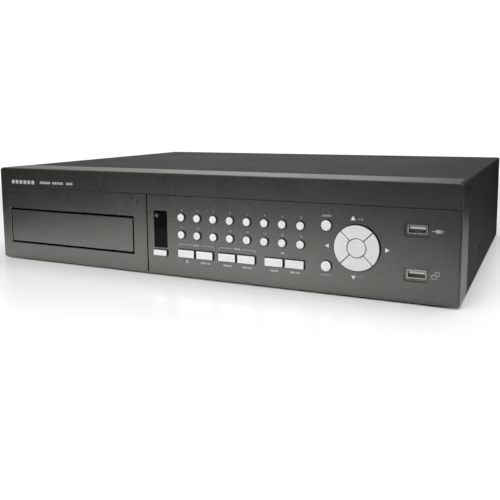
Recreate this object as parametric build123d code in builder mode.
"""Stand-alone video recorder: sheet-steel case, moulded front with keys, disc drive, boards and rear sockets.

Frame: +Z up, the front faces -Y, +X is to the right as seen from the front.  The origin is at the middle of
the footprint, on the surface that the feet stand on.  Millimetres.

Places on the object are given as (x, depth, z): x from the middle of the case, depth behind the front face,
and z above the underside of the case.
"""

from build123d import *
import math
import os

# ---- driving dimensions -------------------------------------------------------------------------------
CASE_WIDTH = 432.0
CASE_HEIGHT = 88.0
CASE_DEPTH = 316.5
FOOT_HEIGHT = 1.2
KEY_PROUD = 2.0
PLUG_REACH = 10.5
SHEET = 1.0

FACE_Y = (KEY_PROUD - PLUG_REACH - CASE_DEPTH) / 2
LEFT = -CASE_WIDTH / 2

# front bezel and the two panels that sit in it
BEZEL_DEPTH = 35.0
BEZEL_WALL = 2.5
BEZEL_FRONT = 5.0
TOP_CORNER = 3.5
BOTTOM_CORNER = 2.0
EDGE_ROUND = 1.0
PANEL_MARGIN = 1.2
BROW_BOTTOM = 69.3
PANEL_TOP = 68.9
PANEL_THICK = 3.0
PANEL_GAP = 0.1
PANEL_BEVEL = 0.15
SPLIT_X = LEFT + 170.7
SPLIT_GAP = 1.2
LEDGE = 4.0

# drive opening and the cover on the disc tray
BAY_X = LEFT + 83.8
BAY_Z = 32.1
BAY_WIDTH = 145.0
BAY_HEIGHT = 33.8
TRAY_COVER_WIDTH = 142.6
TRAY_COVER_HEIGHT = 30.2
TRAY_TRAVEL = 135.0

# keys
KEY_TRAVEL = 0.8
KEY_CLEARANCE = 0.6
FLANGE_THICK = 0.8
FLANGE_GAP = 0.1
CHANNEL_KEY_RADIUS = 3.25
CHANNEL_COLUMNS = 8
CHANNEL_PITCH = 15.3
CHANNEL_X = LEFT + 206.0
CHANNEL_ROWS = (51.0, 36.3)
BAR_KEY_WIDTH = 15.5
BAR_KEY_HEIGHT = 6.6
BAR_KEY_Z = 20.3
BAR_PAIR_CENTRES = (LEFT + 219.4, LEFT + 257.9, LEFT + 299.6)
BAR_PAIR_PITCH = 17.6
POWER_KEY_WIDTH = 13.3
POWER_KEY_HEIGHT = 5.0
POWER_KEY_Z = 19.2
ROUND_KEY_RADIUS = 4.1
ROUND_KEY_X = LEFT + 334.0
ROUND_KEY_ROWS = {"menu_key": 52.7, "search_key": 21.4}
PAD_X = LEFT + 357.6
PAD_Z = 37.1
PAD_RADIUS = 17.3
PAD_CLEARANCE = 0.9
PAD_INNER_RADIUS = 7.6
PAD_CENTRE_RADIUS = 6.9
PAD_GROOVE = 0.7
PAD_STEM_RING = 12.5
PAD_FLOOR_DEPTH = 4.2
PAD_FLOOR_THICK = 1.2
STEM_RADIUS = 1.5
PAD_STEM_RADIUS = 2.0

# display window and front sockets
WINDOW_X = LEFT + 184.6
WINDOW_Z = 39.6
WINDOW_WIDTH = 13.4
WINDOW_HEIGHT = 31.8
USB_X = LEFT + 401.4
USB_ROWS = (54.0, 21.4)

# key board behind the control panel
BOARD_DEPTH = 12.0
BOARD_THICK = 1.6
SWITCH_SIZE = 6.0
SWITCH_BODY = 3.5
SWITCH_PLUNGER = 0.8
SWITCH_TIP_DEPTH = BOARD_DEPTH - SWITCH_BODY - SWITCH_PLUNGER
STEM_END_DEPTH = SWITCH_TIP_DEPTH - KEY_TRAVEL - 0.2
POST_SPOTS = [(LEFT + x, z) for x in (184.6, 314.0, 420.5) for z in (10.0, 61.5)]
POST_RADIUS = 2.5

# sheet-steel case
COVER_INSET = 0.5
COVER_DROP = 0.3
COVER_FRONT_DEPTH = BEZEL_DEPTH + 0.6
BASE_INSET = 3.2
REAR_DEPTH = CASE_DEPTH - SHEET
FLANGE_HEIGHT = 24.0
DIMPLE_RADIUS = 5.5
DIMPLE_DEPTH = 1.6
SIDE_SCREW_DEPTHS = (123.0, 272.0)
SIDE_SCREW_Z = 17.5
REAR_SCREW_SPOTS = (-190.0, 0.0, 190.0)
REAR_SCREW_Z = CASE_HEIGHT - COVER_DROP - 5.0
LIP_HEIGHT = 9.0
SCREW_RADIUS = 1.45
SCREW_HOLE = 1.5
SCREW_HEAD_RADIUS = 2.8
SCREW_HEAD = 1.5
SCREW_LENGTH = 3.0
FOOT_SPOTS = [(x, depth) for x in (-178.0, 178.0) for depth in (62.0, 290.0)]
FOOT_PEG_RADIUS = 3.0

# boards, drives and power inside the case
MAIN_X = LEFT + 306.0
MAIN_WIDTH = 232.0
MAIN_FRONT = 163.0
MAIN_LENGTH = 150.5
MAIN_Z = 8.0
STANDOFF_SPOTS = [(MAIN_X + x, depth) for x in (-110.0, 0.0, 110.0) for depth in (169.0, 285.0)]
CPU_X = MAIN_X - 10.0
CPU_DEPTH = 212.0
CPU_HEIGHT = 2.4
RIBBON_X = LEFT + 388.0
RIBBON_WIDTH = 26.0
RIBBON_THICK = 1.0
RIBBON_TOP_Z = 46.0
RIBBON_END_DEPTH = 176.0
DRIVE_WIDTH = 146.0
DRIVE_HEIGHT = 41.4
DRIVE_FRONT = 9.0
DRIVE_LENGTH = 170.0
DRIVE_SHEET = 1.2
TRAY_WIDTH = 129.0
TRAY_THICK = 6.0
TRAY_LENGTH = 160.0
DISK_X = LEFT + 268.5
DISK_SIZE = (147.0, 101.6, 26.1)
DISK_FRONT = 52.0
DISK_Z = 7.2
BRACKET_SHEET = 1.2
BRACKET_FOOT = 9.0
BRACKETS = (
    (DISK_X, DISK_FRONT + DISK_SIZE[1] / 2, 130.0, DISK_SIZE[1], DISK_Z),
    (BAY_X, 110.0, 120.0, 120.0, BAY_Z - DRIVE_HEIGHT / 2),
)
BRACKET_SCREW_SPOTS = [
    (x + side * (width / 2 + BRACKET_FOOT - 4.0), depth + end * (length / 2 - 12.0))
    for x, depth, width, length, _ in BRACKETS
    for side in (-1, 1)
    for end in (-1, 1)
]
SUPPLY_X = LEFT + 64.0
SUPPLY_SIZE = (100.0, 80.0, 38.0)
SUPPLY_FRONT = 195.0
INLET_X = LEFT + 62.0
INLET_Z = 34.0
INLET_FLANGE = 2.5
ROCKER_X = INLET_X - 19.5
ROCKER_TILT = 12.0
ROCKER_WIDTH = 13.4
ROCKER_HEIGHT = 19.0
ROCKER_SEAT_HEIGHT = 22.0
ROCKER_PIVOT_DEPTH = REAR_DEPTH
ROCKER_PIN_RADIUS = 1.25
FAN_X = LEFT + 150.0
FAN_Z = 44.0
FAN_SIZE = 60.0
FAN_DEPTH = 25.0
FAN_SCREW_PITCH = 50.0
BLADES = 7
FAN_FRONT = REAR_DEPTH - SHEET - FAN_DEPTH - 0.1
SHAFT_RADIUS = 1.5
SHAFT_CLEARANCE = 0.05

# rear sockets, in columns across the rear wall
SOCKET_GAP = 0.05
BNC_COLUMNS = [LEFT + 201.0 + 17.0 * column for column in range(9)]
BNC_ROWS = (22.0, 44.0)
BNC_RADIUS = 4.8
BNC_LUG_DEPTH = CASE_DEPTH + PLUG_REACH - 5.0
JACK_COLUMNS = (LEFT + 355.0, LEFT + 370.0)
JACK_ROWS = (18.0, 33.0, 48.0)
JACK_RADIUS = 4.15
DSUB_X = LEFT + 401.0
DSUB_ROWS = (60.0, 40.0)
LAN_X = LEFT + 401.0
LAN_Z = 16.6
LAN_SIZE = (16.0, 13.6)


# ---- planes and shared shapes ---------------------------------------------------------------------------
def front_at(depth, x=0.0, z=0.0):
    """Plane facing the front, `depth` behind the face: local x to the right, local y up, extruding forwards."""
    return Plane(origin=(x, FACE_Y + depth, FOOT_HEIGHT + z), x_dir=(1, 0, 0), z_dir=(0, -1, 0))


def rear_at(depth, x=0.0, z=0.0):
    """Plane facing the rear, `depth` behind the face: local x to the left, local y up, extruding backwards."""
    return Plane(origin=(x, FACE_Y + depth, FOOT_HEIGHT + z), x_dir=(-1, 0, 0), z_dir=(0, 1, 0))


def level_at(z, x=0.0, depth=0.0):
    """Level plane at height z: local x to the right, local y towards the rear, extruding upwards."""
    return Plane(origin=(x, FACE_Y + depth, FOOT_HEIGHT + z), x_dir=(1, 0, 0), z_dir=(0, 0, 1))


def side_at(x, depth=0.0, z=0.0, outward=1):
    """Plane facing sideways at x: local x towards the rear (outward=1), local y up, extruding outwards."""
    return Plane(origin=(x, FACE_Y + depth, FOOT_HEIGHT + z), x_dir=(0, outward, 0), z_dir=(outward, 0, 0))


def save(piece, name):
    piece.part.label = name
    export_step(piece.part, f"parts/{name}.step")


def switch_spots():
    """Middle of every key's switch, as (x, z)."""
    spots = [(x, z) for x in channel_columns() for z in CHANNEL_ROWS]
    spots += [(x, BAR_KEY_Z) for x in bar_key_columns()]
    spots += [(ROUND_KEY_X, z) for z in ROUND_KEY_ROWS.values()]
    spots += [(WINDOW_X, POWER_KEY_Z), (PAD_X, PAD_Z)]
    return spots + [pad_stem(angle) for angle in (0, 90, 180, 270)]


def channel_columns():
    return [CHANNEL_X + CHANNEL_PITCH * column for column in range(CHANNEL_COLUMNS)]


def bar_key_columns():
    return [centre + side * BAR_PAIR_PITCH / 2 for centre in BAR_PAIR_CENTRES for side in (-1, 1)]


def pad_stem(angle):
    return (
        PAD_X + PAD_STEM_RING * math.cos(math.radians(angle)),
        PAD_Z + PAD_STEM_RING * math.sin(math.radians(angle)),
    )


# ---- front ------------------------------------------------------------------------------------------------
def make_front_bezel():
    inner_width = CASE_WIDTH - 2 * BEZEL_WALL
    inner_height = CASE_HEIGHT - 2 * BEZEL_WALL
    opening_width = CASE_WIDTH - 2 * PANEL_MARGIN
    opening_height = BROW_BOTTOM - PANEL_MARGIN
    ledge_bottom = PANEL_MARGIN + LEDGE
    ledge_height = opening_height - 2 * LEDGE
    hook_size = (10.0, 2.0, 6.0)
    with BuildPart() as bezel:
        with BuildSketch(front_at(0)) as outline:
            with Locations((0, CASE_HEIGHT / 2)):
                Rectangle(CASE_WIDTH, CASE_HEIGHT)
            fillet(outline.vertices().group_by(Axis.Y)[-1], TOP_CORNER)
            fillet(outline.vertices().group_by(Axis.Y)[0], BOTTOM_CORNER)
        extrude(amount=-BEZEL_DEPTH)
        fillet(bezel.faces().sort_by(Axis.Y)[0].edges(), EDGE_ROUND)
        with BuildSketch(front_at(BEZEL_FRONT)):
            with Locations((0, CASE_HEIGHT / 2)):
                RectangleRounded(inner_width, inner_height, 1.0)
        extrude(amount=-BEZEL_DEPTH, mode=Mode.SUBTRACT)
        # seat for the two panels, then the windows behind them with a post left at the split
        with BuildSketch(front_at(0)):
            with Locations((0, PANEL_MARGIN + opening_height / 2)):
                Rectangle(opening_width, opening_height)
        extrude(amount=-PANEL_THICK, mode=Mode.SUBTRACT)
        for low, high in (
            (-opening_width / 2 + LEDGE, SPLIT_X - LEDGE),
            (SPLIT_X + LEDGE, opening_width / 2 - LEDGE),
        ):
            with BuildSketch(front_at(0)):
                with Locations(((low + high) / 2, ledge_bottom + ledge_height / 2)):
                    Rectangle(high - low, ledge_height)
            extrude(amount=-BEZEL_FRONT, mode=Mode.SUBTRACT)
        # bevel along the brow's lower edge
        brow_edges = bezel.edges().filter_by(Axis.X).filter_by(
            lambda edge: abs(edge.center().Z - FOOT_HEIGHT - BROW_BOTTOM) < 0.01
            and abs(edge.center().Y - FACE_Y) < 0.01
        )
        chamfer(brow_edges, 0.25)
        # stiffening ribs under the roof, and hooks that reach through the case's front wall
        with BuildSketch(level_at(CASE_HEIGHT - BEZEL_WALL)):
            with GridLocations(80.0, 1.0, 5, 1):
                with Locations((0, BEZEL_FRONT + 14.0)):
                    Rectangle(1.6, 28.0)
        extrude(amount=-4.0)
        with BuildSketch(front_at(BEZEL_DEPTH - 8.0)):
            with GridLocations(120.0, 1.0, 4, 1):
                with Locations((0, CASE_HEIGHT - BEZEL_WALL - 1.0)):
                    Rectangle(hook_size[0], hook_size[1])
        extrude(amount=-(8.0 + hook_size[2]))
    return bezel


def make_drive_panel():
    left = LEFT + PANEL_MARGIN + PANEL_GAP
    right = SPLIT_X - SPLIT_GAP / 2
    bottom = PANEL_MARGIN + PANEL_GAP
    collar_wall = 1.5
    with BuildPart() as panel:
        with BuildSketch(front_at(0)):
            with Locations(((left + right) / 2, (bottom + PANEL_TOP) / 2)):
                RectangleRounded(right - left, PANEL_TOP - bottom, 0.6)
        extrude(amount=-PANEL_THICK)
        chamfer(panel.faces().sort_by(Axis.Y)[0].edges(), PANEL_BEVEL)
        with BuildSketch(front_at(PANEL_THICK)):
            with Locations((BAY_X, BAY_Z)):
                Rectangle(BAY_WIDTH + 2 * collar_wall, BAY_HEIGHT + 2 * collar_wall)
        extrude(amount=-4.5)
        with BuildSketch(front_at(0)):
            with Locations((BAY_X, BAY_Z)):
                RectangleRounded(BAY_WIDTH, BAY_HEIGHT, 0.8)
        extrude(amount=-10.0, mode=Mode.SUBTRACT)
        bay_rim = panel.faces().sort_by(Axis.Y)[0].inner_wires()[0].edges()
        chamfer(bay_rim, 0.4)
    return panel


def make_tray_cover():
    clip_z = BAY_Z - 2.0
    with BuildPart() as cover:
        with BuildSketch(front_at(0)):
            with Locations((BAY_X, BAY_Z)):
                RectangleRounded(TRAY_COVER_WIDTH, TRAY_COVER_HEIGHT, 0.8)
        extrude(amount=-4.0)
        fillet(cover.faces().sort_by(Axis.Y)[0].edges(), 0.6)
        # the cover is a shallow pan behind its face
        with BuildSketch(front_at(2.2)):
            with Locations((BAY_X, BAY_Z)):
                Rectangle(TRAY_COVER_WIDTH - 4.0, TRAY_COVER_HEIGHT - 4.0)
        extrude(amount=-4.0, mode=Mode.SUBTRACT)
        # two sockets that take the tray's tongues
        for side in (-1, 1):
            with BuildSketch(front_at(2.2)):
                with Locations((BAY_X + side * 45.0, clip_z)):
                    Rectangle(22.0, 10.0)
                    Rectangle(18.2, 6.2, mode=Mode.SUBTRACT)
            extrude(amount=-3.8)
    return cover


def control_panel_holes():
    """Key holes, window, and socket openings as one sketch on the panel's face."""
    clear = KEY_CLEARANCE
    with BuildSketch(front_at(0)) as holes:
        for x in channel_columns():
            for z in CHANNEL_ROWS:
                with Locations((x, z)):
                    Circle(CHANNEL_KEY_RADIUS + clear)
        for x in bar_key_columns():
            with Locations((x, BAR_KEY_Z)):
                RectangleRounded(BAR_KEY_WIDTH + 2 * clear, BAR_KEY_HEIGHT + 2 * clear, 0.9)
        with Locations((WINDOW_X, POWER_KEY_Z)):
            RectangleRounded(POWER_KEY_WIDTH + 2 * clear, POWER_KEY_HEIGHT + 2 * clear, 0.9)
        for z in ROUND_KEY_ROWS.values():
            with Locations((ROUND_KEY_X, z)):
                Circle(ROUND_KEY_RADIUS + clear)
        with Locations((WINDOW_X, WINDOW_Z)):
            RectangleRounded(WINDOW_WIDTH + 0.2, WINDOW_HEIGHT + 0.2, 0.9)
        with Locations((PAD_X, PAD_Z)):
            Circle(PAD_RADIUS + PAD_CLEARANCE)
        for z in USB_ROWS:
            with Locations((USB_X, z)):
                RectangleRounded(15.0, 7.4, 0.8)
    return holes.sketch


def make_control_panel():
    left = SPLIT_X + SPLIT_GAP / 2
    right = -LEFT - PANEL_MARGIN - PANEL_GAP
    bottom = PANEL_MARGIN + PANEL_GAP
    recess_depth = 1.2
    post_length = BOARD_DEPTH - PANEL_THICK
    cup_wall = 1.5
    with BuildPart() as panel:
        with BuildSketch(front_at(0)):
            with Locations(((left + right) / 2, (bottom + PANEL_TOP) / 2)):
                RectangleRounded(right - left, PANEL_TOP - bottom, 0.6)
        extrude(amount=-PANEL_THICK)
        chamfer(panel.faces().sort_by(Axis.Y)[0].edges(), PANEL_BEVEL)
        # shallow recess round each front socket
        for z in USB_ROWS:
            with BuildSketch(front_at(0)):
                with Locations((USB_X, z)):
                    RectangleRounded(18.4, 11.2, 1.6)
            extrude(amount=-recess_depth, mode=Mode.SUBTRACT)
        extrude(control_panel_holes(), amount=-PANEL_THICK, mode=Mode.SUBTRACT)
        # cup behind the direction pad: a wall and a floor that guides the five stems
        with BuildSketch(front_at(PANEL_THICK)):
            with Locations((PAD_X, PAD_Z)):
                Circle(PAD_RADIUS + PAD_CLEARANCE + cup_wall)
                Circle(PAD_RADIUS + PAD_CLEARANCE, mode=Mode.SUBTRACT)
        extrude(amount=-(PAD_FLOOR_DEPTH - PANEL_THICK))
        with BuildSketch(front_at(PAD_FLOOR_DEPTH)):
            with Locations((PAD_X, PAD_Z)):
                Circle(PAD_RADIUS + PAD_CLEARANCE + cup_wall)
                Circle(PAD_STEM_RADIUS + 0.3, mode=Mode.SUBTRACT)
                with PolarLocations(PAD_STEM_RING, 4):
                    Circle(PAD_STEM_RADIUS + 0.3, mode=Mode.SUBTRACT)
        extrude(amount=-PAD_FLOOR_THICK)
        # posts that carry the key board, each with a blind screw hole
        with BuildSketch(front_at(PANEL_THICK)):
            with Locations(*POST_SPOTS):
                Circle(POST_RADIUS)
        extrude(amount=-post_length)
        with BuildSketch(front_at(BOARD_DEPTH)):
            with Locations(*POST_SPOTS):
                Circle(SCREW_HOLE)
        extrude(amount=5.0, mode=Mode.SUBTRACT)
    return panel


def make_display_window():
    with BuildPart() as window:
        with BuildSketch(front_at(-0.2)):
            with Locations((WINDOW_X, WINDOW_Z)):
                RectangleRounded(WINDOW_WIDTH, WINDOW_HEIGHT, 0.8)
        extrude(amount=-(PANEL_THICK + 0.2))
        fillet(window.faces().sort_by(Axis.Y)[0].edges(), 0.3)
        with BuildSketch(front_at(PANEL_THICK)):
            with Locations((WINDOW_X, WINDOW_Z)):
                RectangleRounded(WINDOW_WIDTH + 2.4, WINDOW_HEIGHT + 0.6, 0.8)
        extrude(amount=-0.8)
    return window


def round_outline(x, z, depth, radius):
    with BuildSketch(front_at(depth, x, z)) as outline:
        Circle(radius)
    return outline.sketch


def stem(x, z, start, radius):
    """Stem from a key's back towards its switch."""
    extrude(round_outline(x, z, start, radius), amount=-(STEM_END_DEPTH - start))


def make_round_key(x, z, radius):
    flange_depth = PANEL_THICK + FLANGE_GAP
    with BuildPart() as key:
        with BuildSketch(front_at(-KEY_PROUD)):
            with Locations((x, z)):
                Circle(radius)
        extrude(amount=-(KEY_PROUD + flange_depth))
        fillet(key.faces().sort_by(Axis.Y)[0].edges(), 0.7)
        with BuildSketch(front_at(flange_depth)):
            with Locations((x, z)):
                Circle(radius + 1.2)
        extrude(amount=-FLANGE_THICK)
        stem(x, z, flange_depth + FLANGE_THICK, STEM_RADIUS)
    return key


def make_bar_key(x, z, width, height):
    flange_depth = PANEL_THICK + FLANGE_GAP
    with BuildPart() as key:
        with BuildSketch(front_at(-KEY_PROUD)):
            with Locations((x, z)):
                RectangleRounded(width, height, 0.7)
        extrude(amount=-(KEY_PROUD + flange_depth))
        fillet(key.faces().sort_by(Axis.Y)[0].edges(), 0.5)
        with BuildSketch(front_at(flange_depth)):
            with Locations((x, z)):
                Rectangle(width, height + 2.4)
        extrude(amount=-FLANGE_THICK)
        stem(x, z, flange_depth + FLANGE_THICK, STEM_RADIUS)
    return key


def pad_stem_and_barb(x, z):
    """Stem through the pad's floor with the barb that keeps it there."""
    barb_depth = PAD_FLOOR_DEPTH + PAD_FLOOR_THICK + FLANGE_GAP
    stem(x, z, PANEL_THICK, PAD_STEM_RADIUS)
    barb = round_outline(x, z, barb_depth, PAD_STEM_RADIUS + 0.7)
    extrude(barb, amount=-(STEM_END_DEPTH - barb_depth))


def make_pad_quadrant(angle):
    """One quarter of the direction pad, pointing along `angle` (0 is right, 90 is up)."""
    reach = 2 * PAD_RADIUS
    apex = PAD_GROOVE / math.sqrt(2)
    turn = math.radians(angle)
    pad_plane = Plane(
        origin=(PAD_X, FACE_Y - KEY_PROUD, FOOT_HEIGHT + PAD_Z),
        x_dir=(math.cos(turn), 0, math.sin(turn)),
        z_dir=(0, -1, 0),
    )
    with BuildPart() as key:
        with BuildSketch(pad_plane):
            with BuildLine():
                Polyline((apex, 0), (reach, reach - apex), (reach, apex - reach), (apex, 0))
            make_face()
            Circle(PAD_RADIUS, mode=Mode.INTERSECT)
            Circle(PAD_INNER_RADIUS, mode=Mode.SUBTRACT)
        extrude(amount=-(KEY_PROUD + PANEL_THICK))
        fillet(key.faces().sort_by(Axis.Y)[0].edges(), 0.4)
        pad_stem_and_barb(*pad_stem(angle))
    return key


def make_pad_centre():
    with BuildPart() as key:
        with BuildSketch(front_at(-KEY_PROUD)):
            with Locations((PAD_X, PAD_Z)):
                Circle(PAD_CENTRE_RADIUS)
        extrude(amount=-(KEY_PROUD + PANEL_THICK))
        fillet(key.faces().sort_by(Axis.Y)[0].edges(), 0.6)
        pad_stem_and_barb(PAD_X, PAD_Z)
    return key


def make_status_leds():
    """Round light-emitting diodes that stand on the key board behind the window."""
    lens_radius = 1.5
    top_depth = 5.0
    with BuildPart() as leds:
        with BuildSketch(front_at(BOARD_DEPTH)):
            with Locations((WINDOW_X - 3.1, WINDOW_Z)):
                with GridLocations(1.0, 6.6, 1, 4):
                    Circle(lens_radius)
        extrude(amount=BOARD_DEPTH - top_depth)
        fillet(leds.faces().group_by(Axis.Y)[0].edges(), 1.2)
        with BuildSketch(front_at(BOARD_DEPTH)):
            with Locations((WINDOW_X - 3.1, WINDOW_Z)):
                with GridLocations(1.0, 6.6, 1, 4):
                    Circle(lens_radius + 0.4)
        extrude(amount=1.0)
    return leds


def make_front_usb_ports():
    """Upright USB receptacles: a flared shell round a tongue, on a base that stands on the key board."""
    mouth_depth = 0.7
    shell_wall = 0.4
    inside = (12.5, 5.2)
    tongue = (11.1, 1.9)
    base_depth = BOARD_DEPTH - 2.5
    with BuildPart() as ports:
        for z in USB_ROWS:
            with BuildSketch(front_at(base_depth)):
                with Locations((USB_X, z)):
                    RectangleRounded(inside[0] + 2 * shell_wall, inside[1] + 2 * shell_wall, 0.5)
                    Rectangle(*inside, mode=Mode.SUBTRACT)
            extrude(amount=base_depth - mouth_depth)
            with BuildSketch(front_at(mouth_depth + 0.6)):
                with Locations((USB_X, z)):
                    RectangleRounded(14.2, 6.7, 0.7)
                    Rectangle(*inside, mode=Mode.SUBTRACT)
            extrude(amount=0.6)
            with BuildSketch(front_at(base_depth)):
                with Locations((USB_X, z + 1.1)):
                    Rectangle(*tongue)
            extrude(amount=base_depth - mouth_depth - 1.4)
            with BuildSketch(front_at(BOARD_DEPTH)):
                with Locations((USB_X, z)):
                    Rectangle(inside[0] + 2 * shell_wall, inside[1] + 2 * shell_wall)
            extrude(amount=BOARD_DEPTH - base_depth)
    return ports


def make_key_board():
    board_left = LEFT + 176.5
    board_right = -LEFT - 6.0
    board_bottom = 5.0
    board_top = 66.0
    with BuildPart() as board:
        with BuildSketch(front_at(BOARD_DEPTH)):
            with Locations(((board_left + board_right) / 2, (board_bottom + board_top) / 2)):
                RectangleRounded(board_right - board_left, board_top - board_bottom, 1.5)
            with Locations(*POST_SPOTS):
                Circle(SCREW_HOLE, mode=Mode.SUBTRACT)
        extrude(amount=-BOARD_THICK)
        # remote-control receiver beside the diodes, and the ribbon's header on the back
        with BuildSketch(front_at(BOARD_DEPTH)):
            with Locations((WINDOW_X + 2.4, WINDOW_Z + 4.0)):
                RectangleRounded(6.0, 7.0, 0.5)
        extrude(amount=5.6)
        with BuildSketch(front_at(BOARD_DEPTH + BOARD_THICK)):
            with Locations((RIBBON_X, RIBBON_TOP_Z)):
                Rectangle(RIBBON_WIDTH + 6.0, 8.0)
                Rectangle(RIBBON_WIDTH + 0.4, RIBBON_THICK + 0.2, mode=Mode.SUBTRACT)
        extrude(amount=-8.0)
        with BuildSketch(front_at(BOARD_DEPTH + BOARD_THICK)):
            with Locations((LEFT + 250.0, 40.0)):
                Rectangle(14.0, 14.0)
        extrude(amount=-1.4)
    return board


def make_tact_switches():
    with BuildPart() as switches:
        with BuildSketch(front_at(BOARD_DEPTH)):
            with Locations(*switch_spots()):
                Rectangle(SWITCH_SIZE, SWITCH_SIZE)
        extrude(amount=SWITCH_BODY)
        with BuildSketch(front_at(BOARD_DEPTH - SWITCH_BODY)):
            with Locations(*switch_spots()):
                Circle(1.7)
        extrude(amount=SWITCH_PLUNGER)
    return switches


# ---- case -----------------------------------------------------------------------------------------------
def make_base_chassis():
    """Folded tray: floor, low side flanges, front wall behind the bezel and rear wall with its cut-outs."""
    width = CASE_WIDTH - 2 * BASE_INSET
    length = REAR_DEPTH - COVER_FRONT_DEPTH
    wall_height = CASE_HEIGHT - COVER_DROP - SHEET - 0.3
    bay_cutout = (DRIVE_WIDTH + 2.0, DRIVE_HEIGHT + 2.0)
    with BuildPart() as base:
        with BuildSketch(level_at(0, 0, COVER_FRONT_DEPTH)):
            with Locations((0, length / 2)):
                Rectangle(width, length)
        extrude(amount=SHEET)
        for side in (-1, 1):
            with BuildSketch(level_at(0, side * (width - SHEET) / 2, COVER_FRONT_DEPTH)):
                with Locations((0, length / 2)):
                    Rectangle(SHEET, length)
            extrude(amount=FLANGE_HEIGHT)
        for depth in (COVER_FRONT_DEPTH, REAR_DEPTH - SHEET):
            with BuildSketch(front_at(depth)):
                with Locations((0, wall_height / 2)):
                    Rectangle(width, wall_height)
            extrude(amount=-SHEET)
        # rear wall's top flange, folded forwards
        with BuildSketch(front_at(REAR_DEPTH - 10.0)):
            with Locations((0, wall_height - SHEET / 2)):
                Rectangle(width, SHEET)
        extrude(amount=-10.0)
        extrude(front_wall_openings(bay_cutout), amount=-SHEET, mode=Mode.SUBTRACT)
        extrude(rear_wall_openings(), amount=-SHEET, mode=Mode.SUBTRACT)
        extrude(floor_openings(), amount=SHEET, mode=Mode.SUBTRACT)
        # threaded holes for the cover's side screws
        for side in (-1, 1):
            with BuildSketch(side_at(side * width / 2, outward=side)):
                with Locations(*[(side * depth, SIDE_SCREW_Z) for depth in SIDE_SCREW_DEPTHS]):
                    Circle(SCREW_HOLE)
            extrude(amount=-2 * SHEET, mode=Mode.SUBTRACT)
    return base


def front_wall_openings(bay_cutout):
    """Openings for the disc drive, the ribbon and the bezel's hooks, and an air slot."""
    with BuildSketch(front_at(COVER_FRONT_DEPTH)) as openings:
        with Locations((BAY_X, BAY_Z)):
            Rectangle(*bay_cutout)
        with Locations((RIBBON_X, RIBBON_TOP_Z - 4.0)):
            RectangleRounded(RIBBON_WIDTH + 10.0, 16.0, 2.0)
        with GridLocations(120.0, 1.0, 4, 1):
            with Locations((0, CASE_HEIGHT - BEZEL_WALL - 1.0)):
                Rectangle(11.0, 2.6)
        with Locations((SPLIT_X + 60.0, 44.0)):
            SlotOverall(60.0, 20.0)
    return openings.sketch


def rear_wall_openings():
    """Openings for the sockets, the power inlet, the fan's air and a few air slots."""
    with BuildSketch(front_at(REAR_DEPTH - SHEET)) as openings:
        with Locations(*[(x, z) for x in BNC_COLUMNS for z in BNC_ROWS]):
            Circle(BNC_RADIUS + 0.5)
        with Locations(*[(x, z) for x in JACK_COLUMNS for z in JACK_ROWS]):
            Circle(JACK_RADIUS + 0.4)
        with Locations(*[(DSUB_X, z) for z in DSUB_ROWS]):
            RectangleRounded(17.6, 9.4, 1.5)
        with Locations((LAN_X, LAN_Z)):
            Rectangle(LAN_SIZE[0] + 0.4, LAN_SIZE[1] + 0.4)
        with Locations((INLET_X, INLET_Z)):
            Rectangle(58.4, 29.4)
        with Locations((FAN_X, FAN_Z)):
            Circle(27.0)
            Circle(21.5, mode=Mode.SUBTRACT)
            Circle(18.5)
            Circle(13.0, mode=Mode.SUBTRACT)
            Circle(10.0)
            Circle(5.0, mode=Mode.SUBTRACT)
            Rectangle(60.0, 3.0, mode=Mode.SUBTRACT)
            Rectangle(3.0, 60.0, mode=Mode.SUBTRACT)
            with GridLocations(FAN_SCREW_PITCH, FAN_SCREW_PITCH, 2, 2):
                Circle(SCREW_HOLE)
        with Locations((LEFT + 270.0, 72.0)):
            with GridLocations(10.0, 1.0, 12, 1):
                SlotOverall(12.0, 4.0, rotation=90)
        with Locations(*[(x, REAR_SCREW_Z) for x in REAR_SCREW_SPOTS]):
            Circle(SCREW_HOLE)
    return openings.sketch


def floor_openings():
    """Peg holes for the feet and a field of air slots under the hard drive."""
    with BuildSketch(level_at(0)) as openings:
        with Locations(*FOOT_SPOTS):
            Circle(FOOT_PEG_RADIUS)
        with Locations(*BRACKET_SCREW_SPOTS):
            Circle(SCREW_HOLE)
        with Locations((DISK_X, DISK_FRONT + DISK_SIZE[1] / 2)):
            with GridLocations(9.0, 34.0, 10, 2):
                SlotOverall(26.0, 3.6, rotation=90)
    return openings.sketch


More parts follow.
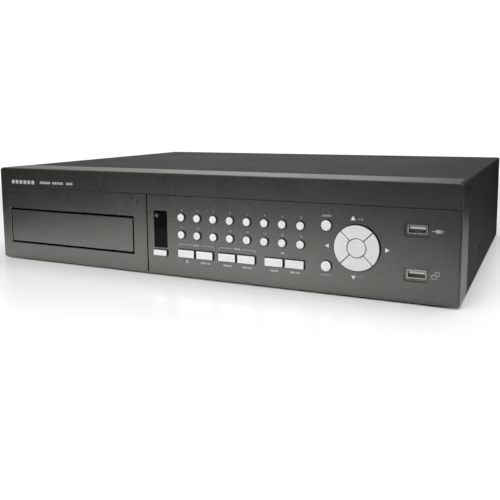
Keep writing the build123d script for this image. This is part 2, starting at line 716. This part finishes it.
def make_top_cover():
    """Folded cover: roof, two sides with dimpled screw seats, and a lip over the rear wall."""
    width = CASE_WIDTH - 2 * COVER_INSET
    height = CASE_HEIGHT - COVER_DROP
    length = CASE_DEPTH - COVER_FRONT_DEPTH
    bend = 1.6
    with BuildPart() as cover:
        with BuildSketch(front_at(COVER_FRONT_DEPTH)) as outline:
            with Locations((0, height / 2)):
                Rectangle(width, height)
            fillet(outline.vertices().group_by(Axis.Y)[-1], bend)
            with Locations((0, (height - SHEET) / 2)):
                Rectangle(width - 2 * SHEET, height - SHEET, mode=Mode.SUBTRACT)
        extrude(amount=-length)
        with BuildSketch(front_at(REAR_DEPTH)):
            with Locations((0, height - LIP_HEIGHT / 2)):
                Rectangle(width - 2 * bend, LIP_HEIGHT)
        extrude(amount=-SHEET)
        with BuildSketch(front_at(REAR_DEPTH)):
            with Locations(*[(x, REAR_SCREW_Z) for x in REAR_SCREW_SPOTS]):
                Circle(SCREW_HOLE + 0.2)
        extrude(amount=-SHEET, mode=Mode.SUBTRACT)
        for side in (-1, 1):
            spots = [(side * depth, SIDE_SCREW_Z) for depth in SIDE_SCREW_DEPTHS]
            with BuildSketch(side_at(side * (width / 2 - SHEET), outward=side)):
                with Locations(*spots):
                    Circle(DIMPLE_RADIUS + SHEET)
            extrude(amount=-DIMPLE_DEPTH)
            with BuildSketch(side_at(side * width / 2, outward=side)):
                with Locations(*spots):
                    Circle(DIMPLE_RADIUS)
            extrude(amount=-DIMPLE_DEPTH, mode=Mode.SUBTRACT)
            with BuildSketch(side_at(side * width / 2, outward=side)):
                with Locations(*spots):
                    Circle(SCREW_HOLE + 0.2)
            extrude(amount=-2 * DIMPLE_DEPTH, mode=Mode.SUBTRACT)
        # air slots in the left side
        with BuildSketch(side_at(-width / 2, outward=-1)):
            with Locations((-190.0, 56.0)):
                with GridLocations(8.0, 1.0, 14, 1):
                    SlotOverall(26.0, 3.6, rotation=90)
        extrude(amount=-SHEET, mode=Mode.SUBTRACT)
    return cover


def screw_planes():
    """Seat of every machine screw: cover sides, cover lip, key board, drive brackets and fan."""
    side_seat = CASE_WIDTH / 2 - COVER_INSET - DIMPLE_DEPTH
    planes = [
        side_at(side * side_seat, depth, SIDE_SCREW_Z, side)
        for side in (-1, 1)
        for depth in SIDE_SCREW_DEPTHS
    ]
    planes += [rear_at(CASE_DEPTH, x, REAR_SCREW_Z) for x in REAR_SCREW_SPOTS]
    planes += [rear_at(BOARD_DEPTH + BOARD_THICK, x, z) for x, z in POST_SPOTS]
    planes += [level_at(SHEET + BRACKET_SHEET, x, depth) for x, depth in BRACKET_SCREW_SPOTS]
    planes += [
        rear_at(REAR_DEPTH, FAN_X + across * FAN_SCREW_PITCH / 2, FAN_Z + up * FAN_SCREW_PITCH / 2)
        for across in (-1, 1)
        for up in (-1, 1)
    ]
    return planes


def make_machine_screws():
    """Pan-head screws: the head on its seat, the shank behind it and a cross recess."""
    with BuildPart() as screws:
        for seat in screw_planes():
            with BuildSketch(seat):
                Circle(SCREW_HEAD_RADIUS)
            extrude(amount=SCREW_HEAD)
            with BuildSketch(seat):
                Circle(SCREW_RADIUS)
            extrude(amount=-SCREW_LENGTH)
            with BuildSketch(seat.offset(SCREW_HEAD)):
                Rectangle(3.2, 0.7)
                Rectangle(0.7, 3.2)
            extrude(amount=-0.9, mode=Mode.SUBTRACT)
    return screws


def make_rubber_feet():
    with BuildPart() as feet:
        for x, depth in FOOT_SPOTS:
            with BuildSketch(level_at(0, x, depth)):
                Circle(10.0)
            extrude(amount=-FOOT_HEIGHT, taper=12)
            with BuildSketch(level_at(0, x, depth)):
                Circle(FOOT_PEG_RADIUS - 0.1)
            extrude(amount=SHEET)
            with BuildSketch(level_at(SHEET, x, depth)):
                Circle(FOOT_PEG_RADIUS + 1.0)
            extrude(amount=1.2)
    return feet


# ---- boards -----------------------------------------------------------------------------------------------
def make_main_board():
    with BuildPart() as board:
        with BuildSketch(level_at(MAIN_Z)):
            with Locations((MAIN_X, MAIN_FRONT + MAIN_LENGTH / 2)):
                RectangleRounded(MAIN_WIDTH, MAIN_LENGTH, 1.5)
            with Locations(*STANDOFF_SPOTS):
                Circle(2.0, mode=Mode.SUBTRACT)
        extrude(amount=BOARD_THICK)
    return board


def make_board_standoffs():
    """Snap-in pillars: a collar under the board, a peg through it and a barb over it."""
    with BuildPart() as pillars:
        for x, depth in STANDOFF_SPOTS:
            with BuildSketch(level_at(SHEET, x, depth)):
                RegularPolygon(3.6, 6)
            extrude(amount=MAIN_Z - SHEET)
            with BuildSketch(level_at(MAIN_Z, x, depth)):
                Circle(1.9)
            extrude(amount=BOARD_THICK)
            with BuildSketch(level_at(MAIN_Z + BOARD_THICK, x, depth)):
                Circle(2.8)
            extrude(amount=2.2, taper=25)
    return pillars


def make_board_chips():
    """Packages and components on the main board, each a separate solid."""
    top = MAIN_Z + BOARD_THICK
    with BuildPart() as chips:
        # processor under the heat sink, then memory beside it
        with BuildSketch(level_at(top, CPU_X, CPU_DEPTH)):
            Rectangle(31.0, 31.0)
        extrude(amount=CPU_HEIGHT)
        with BuildSketch(level_at(top, CPU_X + 36.0, CPU_DEPTH)):
            with GridLocations(1.0, 14.0, 1, 3):
                Rectangle(13.0, 9.0)
        extrude(amount=1.1)
        # video decoders in a row behind the picture sockets
        with BuildSketch(level_at(top, BNC_COLUMNS[4], 262.0)):
            with GridLocations(32.0, 1.0, 4, 1):
                RectangleRounded(18.0, 18.0, 0.6)
        extrude(amount=1.5)
        # clock battery, round capacitors, buzzer and coils
        with BuildSketch(level_at(top, MAIN_X - 92.0, 190.0)):
            Circle(10.0)
        extrude(amount=3.4)
        with BuildSketch(level_at(top, MAIN_X - 96.0, 222.0)):
            with GridLocations(12.0, 13.0, 2, 3):
                Circle(4.0)
        extrude(amount=11.5)
        with BuildSketch(level_at(top, MAIN_X + 98.0, 215.0)):
            Circle(6.0)
            Circle(1.0, mode=Mode.SUBTRACT)
        extrude(amount=8.5)
        with BuildSketch(level_at(top, MAIN_X + 74.0, 232.0)):
            with GridLocations(14.0, 1.0, 3, 1):
                RectangleRounded(10.0, 10.0, 1.0)
        extrude(amount=4.5)
        # headers: ribbon, disk leads and supply leads
        with BuildSketch(level_at(top, RIBBON_X, RIBBON_END_DEPTH)):
            Rectangle(RIBBON_WIDTH + 6.0, 8.0)
            Rectangle(RIBBON_WIDTH + 0.4, RIBBON_THICK + 0.2, mode=Mode.SUBTRACT)
        extrude(amount=8.0)
        with BuildSketch(level_at(top, MAIN_X - 50.0, 172.0)):
            with GridLocations(22.0, 1.0, 3, 1):
                Rectangle(16.0, 6.0)
        extrude(amount=8.0)
        with BuildSketch(level_at(top, MAIN_X - 106.0, 255.0)):
            Rectangle(9.0, 26.0)
        extrude(amount=10.0)
    return chips


def make_heat_sink():
    size = 42.0
    base = 3.0
    fins = 9
    fin_height = 14.0
    with BuildPart() as sink:
        with BuildSketch(level_at(MAIN_Z + BOARD_THICK + CPU_HEIGHT, CPU_X, CPU_DEPTH)):
            Rectangle(size, size)
        extrude(amount=base)
        with BuildSketch(level_at(MAIN_Z + BOARD_THICK + CPU_HEIGHT + base, CPU_X, CPU_DEPTH)):
            with GridLocations(size / fins, 1.0, fins, 1):
                Rectangle(1.4, size)
        extrude(amount=fin_height)
    return sink


def make_ribbon_cable():
    """Flat lead from the key board, back through the front wall and down to the main board's header."""
    start = BOARD_DEPTH + BOARD_THICK + 1.0
    end_z = MAIN_Z + BOARD_THICK + 1.0
    route = [(start, RIBBON_TOP_Z), (72.0, RIBBON_TOP_Z), (RIBBON_END_DEPTH, 50.0), (RIBBON_END_DEPTH, end_z)]
    with BuildPart() as ribbon:
        with BuildSketch(side_at(RIBBON_X - RIBBON_WIDTH / 2)):
            with BuildLine():
                FilletPolyline(*route, radius=[26.0, 16.0])
            trace(line_width=RIBBON_THICK)
        extrude(amount=RIBBON_WIDTH)
    return ribbon


# ---- drives ---------------------------------------------------------------------------------------------
def make_optical_drive():
    """Sheet-metal drive body, open at the front, with a deck under the tray and guides beside it."""
    inner = (DRIVE_WIDTH - 2 * DRIVE_SHEET, DRIVE_HEIGHT - 2 * DRIVE_SHEET)
    tray_low = BAY_Z - 2.0 - TRAY_THICK / 2
    deck_height = tray_low - 1.5 - (BAY_Z - DRIVE_HEIGHT / 2)
    with BuildPart() as drive:
        with BuildSketch(front_at(DRIVE_FRONT)):
            with Locations((BAY_X, BAY_Z)):
                RectangleRounded(DRIVE_WIDTH, DRIVE_HEIGHT, 1.0)
        extrude(amount=-DRIVE_LENGTH)
        with BuildSketch(front_at(DRIVE_FRONT)):
            with Locations((BAY_X, BAY_Z)):
                Rectangle(*inner)
        extrude(amount=-(DRIVE_LENGTH - DRIVE_SHEET), mode=Mode.SUBTRACT)
        # deck and spindle, and the two guides that the tray runs between
        with BuildSketch(front_at(DRIVE_FRONT + 4.0)):
            with Locations((BAY_X, BAY_Z - DRIVE_HEIGHT / 2 + deck_height - 1.5)):
                Rectangle(inner[0], 3.0)
            for side in (-1, 1):
                with Locations((BAY_X + side * (inner[0] / 2 - 2.5), BAY_Z - 2.0)):
                    Rectangle(5.0, TRAY_THICK + 8.0)
        extrude(amount=-(DRIVE_LENGTH - 8.0))
        # pressed stiffening panel on the roof
        with BuildSketch(level_at(BAY_Z + DRIVE_HEIGHT / 2, BAY_X, DRIVE_FRONT + DRIVE_LENGTH / 2 + 20.0)):
            RectangleRounded(110.0, 90.0, 8.0)
        extrude(amount=-0.5, mode=Mode.SUBTRACT)
        # connectors at the back
        with BuildSketch(rear_at(DRIVE_FRONT + DRIVE_LENGTH, BAY_X, BAY_Z - 8.0)):
            with Locations((-30.0, 0), (-8.0, 0)):
                Rectangle(18.0, 6.0)
        extrude(amount=3.0)
    return drive


def make_disc_tray():
    """Sliding tray with a seat for a disc, the slot that the spindle and lens look through, and front tongues."""
    low = BAY_Z - 2.0 - TRAY_THICK / 2
    front = 6.3
    disc_depth = front + 66.0
    with BuildPart() as tray:
        with BuildSketch(level_at(low)) as outline:
            with Locations((BAY_X, front + TRAY_LENGTH / 2)):
                Rectangle(TRAY_WIDTH, TRAY_LENGTH)
            fillet(outline.vertices().group_by(Axis.Y)[-1], 6.0)
        extrude(amount=TRAY_THICK)
        # disc seats: 12 cm with a shallower step, 8 cm in its middle
        with BuildSketch(level_at(low + TRAY_THICK)):
            with Locations((BAY_X, disc_depth)):
                Circle(60.8)
        extrude(amount=-2.2, mode=Mode.SUBTRACT)
        with BuildSketch(level_at(low + TRAY_THICK)):
            with Locations((BAY_X, disc_depth)):
                Circle(40.6)
        extrude(amount=-3.2, mode=Mode.SUBTRACT)
        # slot from the spindle back past the lens's travel
        with BuildSketch(level_at(low)):
            with Locations((BAY_X, disc_depth + 24.0)):
                SlotOverall(88.0, 38.0, rotation=90)
        extrude(amount=TRAY_THICK, mode=Mode.SUBTRACT)
        # underside is a shell with side rails and a rack
        with BuildSketch(level_at(low)):
            for side in (-1, 1):
                with Locations((BAY_X + side * 41.0, disc_depth + 10.0)):
                    Rectangle(34.0, 124.0)
        extrude(amount=1.2, mode=Mode.SUBTRACT)
        for side in (-1, 1):
            with BuildSketch(front_at(2.3)):
                with Locations((BAY_X + side * 45.0, BAY_Z - 2.0)):
                    Rectangle(18.0, 6.0)
            extrude(amount=-4.0)
    return tray


def make_hard_drive():
    """Casting with a shallow lid, machined corners and a board on its underside."""
    width, length, height = DISK_SIZE
    low = DISK_Z
    middle = DISK_FRONT + length / 2
    with BuildPart() as disk:
        with BuildSketch(level_at(low + 1.6, DISK_X, middle)):
            RectangleRounded(width, length, 3.0)
        extrude(amount=height - 1.6)
        # pocket under the casting for the board, and the board in it
        with BuildSketch(level_at(low + 1.6, DISK_X, middle)):
            Rectangle(width - 8.0, length - 8.0)
        extrude(amount=11.0, mode=Mode.SUBTRACT)
        with BuildSketch(level_at(low, DISK_X, middle)):
            Rectangle(width - 2.0, length - 2.0)
        extrude(amount=1.6)
        # raised lid with a round hub
        with BuildSketch(level_at(low + height, DISK_X, middle)):
            RectangleRounded(width, length, 3.0)
            RectangleRounded(width - 9.0, length - 7.0, 9.0, mode=Mode.SUBTRACT)
        extrude(amount=-1.2, mode=Mode.SUBTRACT)
        with BuildSketch(level_at(low + height, DISK_X + 18.0, middle)):
            Circle(16.0)
            Circle(14.5, mode=Mode.SUBTRACT)
        extrude(amount=-0.6, mode=Mode.SUBTRACT)
    return disk


def make_drive_brackets():
    """Two folded tables screwed to the floor: one under the hard drive, one under the disc drive."""
    with BuildPart() as brackets:
        for x, depth, width, length, top in BRACKETS:
            with BuildSketch(level_at(top - BRACKET_SHEET, x, depth)):
                Rectangle(width, length)
                with GridLocations(width / 3, 1.0, 2, 1):
                    SlotOverall(length - 24.0, width / 5, rotation=90, mode=Mode.SUBTRACT)
            extrude(amount=BRACKET_SHEET)
            for side in (-1, 1):
                with BuildSketch(level_at(SHEET, x + side * (width - BRACKET_SHEET) / 2, depth)):
                    Rectangle(BRACKET_SHEET, length)
                extrude(amount=top - BRACKET_SHEET - SHEET)
                with BuildSketch(level_at(SHEET, x + side * (width / 2 + BRACKET_FOOT / 2), depth)):
                    Rectangle(BRACKET_FOOT, length)
                extrude(amount=BRACKET_SHEET)
        with BuildSketch(level_at(SHEET)):
            with Locations(*BRACKET_SCREW_SPOTS):
                Circle(SCREW_HOLE)
        extrude(amount=BRACKET_SHEET, mode=Mode.SUBTRACT)
    return brackets


# ---- power and air ----------------------------------------------------------------------------------------
def make_power_supply():
    """Enclosed supply: a folded cage with air slots over its own board, and a terminal strip."""
    width, length, height = SUPPLY_SIZE
    wall = 1.2
    middle = SUPPLY_FRONT + length / 2
    with BuildPart() as supply:
        with BuildSketch(level_at(SHEET, SUPPLY_X, middle)):
            Rectangle(width, length)
        extrude(amount=height)
        fillet(supply.edges().filter_by(Axis.Y).group_by(Axis.Z)[-1], 1.5)
        with BuildSketch(level_at(SHEET + wall, SUPPLY_X, middle)):
            Rectangle(width - 2 * wall, length - 2 * wall)
        extrude(amount=height - 2 * wall, mode=Mode.SUBTRACT)
        with BuildSketch(level_at(SHEET + height, SUPPLY_X, middle)):
            with GridLocations(7.0, 32.0, 11, 2):
                SlotOverall(26.0, 3.2, rotation=90)
        extrude(amount=-wall, mode=Mode.SUBTRACT)
        # board, transformer and reservoir capacitors, joined to the floor of the cage
        with BuildSketch(level_at(SHEET + wall, SUPPLY_X, middle)):
            Rectangle(width - 8.0, length - 8.0)
        extrude(amount=4.0)
        with BuildSketch(level_at(SHEET + wall + 4.0, SUPPLY_X + 8.0, middle)):
            Rectangle(30.0, 26.0)
        extrude(amount=24.0)
        with BuildSketch(level_at(SHEET + wall + 4.0, SUPPLY_X - 28.0, middle)):
            with GridLocations(1.0, 26.0, 1, 2):
                Circle(9.0)
        extrude(amount=26.0)
        with BuildSketch(front_at(SUPPLY_FRONT, SUPPLY_X, SHEET + 10.0)):
            Rectangle(60.0, 12.0)
        extrude(amount=9.0)
    return supply


def make_power_inlet():
    """Snap-in module: three-pin inlet beside the seat of the rocker switch."""
    flange = (66.0, 33.0)
    body = (58.0, 29.0)
    body_length = 27.0
    cavity = (24.4, 16.6)
    cavity_x = INLET_X + 11.5
    with BuildPart() as inlet:
        with BuildSketch(rear_at(REAR_DEPTH, INLET_X, INLET_Z)):
            RectangleRounded(*flange, 2.0)
        extrude(amount=INLET_FLANGE)
        fillet(inlet.faces().sort_by(Axis.Y)[-1].edges(), 0.8)
        with BuildSketch(rear_at(REAR_DEPTH, INLET_X, INLET_Z)):
            Rectangle(*body)
        extrude(amount=-body_length)
        # inlet cavity with two cut corners, and its pins
        with BuildSketch(rear_at(REAR_DEPTH + INLET_FLANGE, cavity_x, INLET_Z)) as mouth:
            Rectangle(*cavity)
            chamfer(mouth.vertices().group_by(Axis.Y)[-1], 4.0)
        extrude(amount=-17.0, mode=Mode.SUBTRACT)
        with BuildSketch(rear_at(REAR_DEPTH + INLET_FLANGE - 17.0, cavity_x, INLET_Z)):
            with Locations((0, 2.0), (-7.0, -2.0), (7.0, -2.0)):
                Rectangle(2.0, 4.0)
        extrude(amount=14.0)
        # seat for the rocker and the holes for its hinge pins
        with BuildSketch(rear_at(REAR_DEPTH + INLET_FLANGE, ROCKER_X, INLET_Z)):
            Rectangle(ROCKER_WIDTH + 0.6, ROCKER_SEAT_HEIGHT)
        extrude(amount=-14.0, mode=Mode.SUBTRACT)
        with BuildSketch(side_at(ROCKER_X, ROCKER_PIVOT_DEPTH, INLET_Z)):
            Circle(ROCKER_PIN_RADIUS + SHAFT_CLEARANCE)
        extrude(amount=ROCKER_WIDTH / 2 + 2.0, both=True, mode=Mode.SUBTRACT)
        # blade terminals inside the case
        with BuildSketch(rear_at(REAR_DEPTH - body_length, INLET_X, INLET_Z)):
            with GridLocations(12.0, 12.0, 4, 2):
                Rectangle(6.3, 0.8)
        extrude(amount=-8.0)
    return inlet


def make_power_rocker():
    """Rocker with two flats that meet at its middle, turned to its off position about the hinge pins."""
    half = ROCKER_HEIGHT / 2
    rise = half * math.tan(math.radians(ROCKER_TILT))
    tilt = math.radians(ROCKER_TILT)
    profile_plane = Plane(
        origin=(ROCKER_X - ROCKER_WIDTH / 2, FACE_Y + ROCKER_PIVOT_DEPTH, FOOT_HEIGHT + INLET_Z),
        x_dir=(0, math.cos(tilt), math.sin(tilt)),
        z_dir=(1, 0, 0),
    )
    middle_out = 3.0
    with BuildPart() as rocker:
        with BuildSketch(profile_plane):
            with BuildLine():
                Polyline(
                    (middle_out, 0),
                    (middle_out + rise, half),
                    (0.5, half),
                    (-5.5, half - 5.0),
                    (-5.5, 5.0 - half),
                    (0.5, -half),
                    (middle_out + rise, -half),
                    (middle_out, 0),
                )
            make_face()
        extrude(amount=ROCKER_WIDTH)
        with BuildSketch(side_at(ROCKER_X, ROCKER_PIVOT_DEPTH, INLET_Z)):
            Circle(ROCKER_PIN_RADIUS)
        extrude(amount=ROCKER_WIDTH / 2 + 1.6, both=True)
    return rocker


def make_fan_frame():
    """Square frame round a bore, with a bearing housing held by four struts at its rear face."""
    bore = 28.6
    strut_depth = 4.0
    hub_depth = 9.0
    with BuildPart() as frame:
        with BuildSketch(front_at(FAN_FRONT, FAN_X, FAN_Z)):
            RectangleRounded(FAN_SIZE, FAN_SIZE, 4.0)
            Circle(bore, mode=Mode.SUBTRACT)
            with GridLocations(FAN_SCREW_PITCH, FAN_SCREW_PITCH, 2, 2):
                Circle(SCREW_HOLE, mode=Mode.SUBTRACT)
        extrude(amount=-FAN_DEPTH)
        # waist between the two square flanges
        with BuildSketch(front_at(FAN_FRONT + 4.0, FAN_X, FAN_Z)):
            Rectangle(FAN_SIZE + 2.0, FAN_SIZE + 2.0)
            Circle(FAN_SIZE / 2 - 0.1, mode=Mode.SUBTRACT)
        extrude(amount=-(FAN_DEPTH - 8.0), mode=Mode.SUBTRACT)
        with BuildSketch(front_at(FAN_FRONT + FAN_DEPTH - strut_depth, FAN_X, FAN_Z)):
            Rectangle(2 * bore + 1.0, 3.0)
            Rectangle(3.0, 2 * bore + 1.0)
            Circle(13.0)
        extrude(amount=-strut_depth)
        with BuildSketch(front_at(FAN_FRONT + FAN_DEPTH - hub_depth, FAN_X, FAN_Z)):
            Circle(4.0)
        extrude(amount=-(hub_depth - strut_depth))
        with BuildSketch(front_at(FAN_FRONT + FAN_DEPTH - hub_depth, FAN_X, FAN_Z)):
            Circle(SHAFT_RADIUS + SHAFT_CLEARANCE)
        extrude(amount=-(hub_depth - 1.5), mode=Mode.SUBTRACT)
    return frame


def make_fan_impeller():
    """Hollow hub with twisted blades, and the shaft that runs in the frame's bearing."""
    hub_radius = 13.0
    hub_length = 17.5
    hub_front = FAN_FRONT + 2.0
    tip_radius = 27.4
    root = (hub_radius - 0.6, 15.0, 52.0)
    tip = (tip_radius, 18.0, 34.0)
    blade_depth = hub_front + hub_length / 2
    with BuildPart() as impeller:
        with BuildSketch(front_at(hub_front, FAN_X, FAN_Z)):
            Circle(hub_radius)
        extrude(amount=-hub_length)
        fillet(impeller.faces().sort_by(Axis.Y)[0].edges(), 2.0)
        with BuildSketch(front_at(hub_front + 2.0, FAN_X, FAN_Z)):
            Circle(hub_radius - 1.6)
        extrude(amount=-hub_length, mode=Mode.SUBTRACT)
        with BuildSketch(front_at(hub_front + 1.0, FAN_X, FAN_Z)):
            Circle(SHAFT_RADIUS)
        extrude(amount=-(FAN_DEPTH - 6.0))
        for number in range(BLADES):
            angle = 2 * math.pi * number / BLADES
            outward = Vector(math.cos(angle), 0, math.sin(angle))
            for radius, chord, pitch in (root, tip):
                with BuildSketch(
                    Plane(
                        origin=Vector(FAN_X, FACE_Y + blade_depth, FOOT_HEIGHT + FAN_Z) + outward * radius,
                        x_dir=(0, 1, 0),
                        z_dir=outward,
                    )
                ):
                    RectangleRounded(chord, 1.2, 0.5, rotation=pitch)
            loft()
    return impeller


# ---- rear sockets -----------------------------------------------------------------------------------------
def make_bnc_connectors():
    """Stacked pairs of bayonet sockets: a housing on the board behind two barrels through the rear wall."""
    housing_width = 15.5
    housing_length = 24.0
    housing_front = REAR_DEPTH - SHEET - 0.4 - housing_length
    housing_bottom = MAIN_Z + BOARD_THICK
    housing_height = BNC_ROWS[-1] + 10.0 - housing_bottom
    barrel_start = housing_front + housing_length + SOCKET_GAP
    barrel_length = CASE_DEPTH + PLUG_REACH - barrel_start
    lug_radius = 1.0
    with BuildPart() as sockets:
        for x in BNC_COLUMNS:
            with BuildSketch(front_at(housing_front, x, housing_bottom)):
                with Locations((0, housing_height / 2)):
                    Rectangle(housing_width, housing_height)
            extrude(amount=-housing_length)
            with BuildSketch(level_at(housing_bottom, x, housing_front + housing_length / 2)):
                Rectangle(housing_width - 3.0, housing_length - 3.0)
            extrude(amount=housing_height - 1.5, mode=Mode.SUBTRACT)
            for z in BNC_ROWS:
                with BuildSketch(rear_at(barrel_start, x, z)):
                    Circle(BNC_RADIUS)
                    Circle(BNC_RADIUS - 0.75, mode=Mode.SUBTRACT)
                    Circle(2.4)
                    Circle(0.7, mode=Mode.SUBTRACT)
                extrude(amount=barrel_length)
                with BuildSketch(rear_at(barrel_start, x, z)):
                    Circle(BNC_RADIUS)
                extrude(amount=4.5)
                for side in (-1, 1):
                    with BuildSketch(side_at(x + side * (BNC_RADIUS - 0.3), BNC_LUG_DEPTH, z, side)):
                        Circle(lug_radius)
                    extrude(amount=1.0)
    return sockets


def make_audio_jacks():
    """Stacked phono sockets: a housing on the board behind three sleeves through the rear wall."""
    housing_width = 14.0
    housing_length = 12.0
    housing_front = REAR_DEPTH - SHEET - 0.4 - housing_length
    housing_bottom = MAIN_Z + BOARD_THICK
    housing_height = JACK_ROWS[-1] + 6.5 - housing_bottom
    sleeve_start = housing_front + housing_length + SOCKET_GAP
    sleeve_length = 10.0
    with BuildPart() as jacks:
        for x in JACK_COLUMNS:
            with BuildSketch(front_at(housing_front, x, housing_bottom)):
                with Locations((0, housing_height / 2)):
                    Rectangle(housing_width, housing_height)
            extrude(amount=-housing_length)
            for z in JACK_ROWS:
                with BuildSketch(rear_at(sleeve_start, x, z)):
                    Circle(JACK_RADIUS)
                extrude(amount=sleeve_length)
                with BuildSketch(rear_at(sleeve_start + sleeve_length, x, z)):
                    Circle(1.6)
                extrude(amount=-8.5, mode=Mode.SUBTRACT)
    return jacks


def make_rear_ports():
    """Two D-shaped sockets over a network socket, each in its shield."""
    flange_depth = REAR_DEPTH - SHEET - 0.4
    shell = (17.0, 8.6)
    lan_length = 21.0
    with BuildPart() as ports:
        for z in DSUB_ROWS:
            with BuildSketch(rear_at(flange_depth, DSUB_X, z)):
                RectangleRounded(30.8, 12.5, 1.0)
            extrude(amount=-11.0)
            with BuildSketch(rear_at(flange_depth, DSUB_X, z)) as rim:
                Trapezoid(shell[0], shell[1], 80, rotation=180)
                fillet(rim.vertices(), 1.5)
            extrude(amount=6.4)
            with BuildSketch(rear_at(flange_depth + 6.4, DSUB_X, z)):
                for row, count in ((2.0, 5), (0.0, 5), (-2.0, 5)):
                    with Locations((0, row)):
                        with GridLocations(2.3, 1.0, count, 1):
                            Circle(0.5)
            extrude(amount=-4.0, mode=Mode.SUBTRACT)
        # posts that carry the D-shaped sockets on the board
        with BuildSketch(level_at(MAIN_Z + BOARD_THICK, DSUB_X, flange_depth - 8.0)):
            with GridLocations(26.0, 1.0, 2, 1):
                Rectangle(2.5, 5.0)
        extrude(amount=DSUB_ROWS[0] - MAIN_Z - BOARD_THICK)
        with BuildSketch(rear_at(REAR_DEPTH + 0.4, LAN_X, LAN_Z)):
            Rectangle(*LAN_SIZE)
        extrude(amount=-lan_length)
        with BuildSketch(rear_at(REAR_DEPTH + 0.4, LAN_X, LAN_Z)):
            Rectangle(11.8, 7.4)
            with Locations((0, -4.6)):
                Rectangle(6.0, 3.0)
        extrude(amount=-14.0, mode=Mode.SUBTRACT)
    return ports


os.makedirs("parts", exist_ok=True)
save(make_front_bezel(), "front_bezel")
save(make_drive_panel(), "drive_panel")
save(make_tray_cover(), "tray_cover")
save(make_control_panel(), "control_panel")
save(make_display_window(), "display_window")
save(make_status_leds(), "status_leds")
save(make_front_usb_ports(), "front_usb_ports")
save(make_key_board(), "key_board")
save(make_tact_switches(), "tact_switches")

for row, z in enumerate(CHANNEL_ROWS):
    for column, x in enumerate(channel_columns()):
        number = row * CHANNEL_COLUMNS + column + 1
        save(make_round_key(x, z, CHANNEL_KEY_RADIUS), f"channel_key_{number:02d}")
for number, x in enumerate(bar_key_columns(), start=1):
    save(make_bar_key(x, BAR_KEY_Z, BAR_KEY_WIDTH, BAR_KEY_HEIGHT), f"function_key_{number}")
save(make_bar_key(WINDOW_X, POWER_KEY_Z, POWER_KEY_WIDTH, POWER_KEY_HEIGHT), "power_key")
for name, z in ROUND_KEY_ROWS.items():
    save(make_round_key(ROUND_KEY_X, z, ROUND_KEY_RADIUS), name)
for name, angle in {"pad_right": 0, "pad_up": 90, "pad_left": 180, "pad_down": 270}.items():
    save(make_pad_quadrant(angle), name)
save(make_pad_centre(), "pad_centre")

save(make_base_chassis(), "base_chassis")
save(make_top_cover(), "top_cover")
save(make_machine_screws(), "machine_screws")
save(make_rubber_feet(), "rubber_feet")
save(make_main_board(), "main_board")
save(make_board_standoffs(), "board_standoffs")
save(make_board_chips(), "board_chips")
save(make_heat_sink(), "heat_sink")
save(make_ribbon_cable(), "ribbon_cable")
save(make_optical_drive(), "optical_drive")
save(make_disc_tray(), "disc_tray")
save(make_hard_drive(), "hard_drive")
save(make_drive_brackets(), "drive_brackets")
save(make_power_supply(), "power_supply")
save(make_power_inlet(), "power_inlet")
save(make_power_rocker(), "power_rocker")
save(make_fan_frame(), "fan_frame")
save(make_fan_impeller(), "fan_impeller")
save(make_bnc_connectors(), "bnc_connectors")
save(make_audio_jacks(), "audio_jacks")
save(make_rear_ports(), "rear_ports")
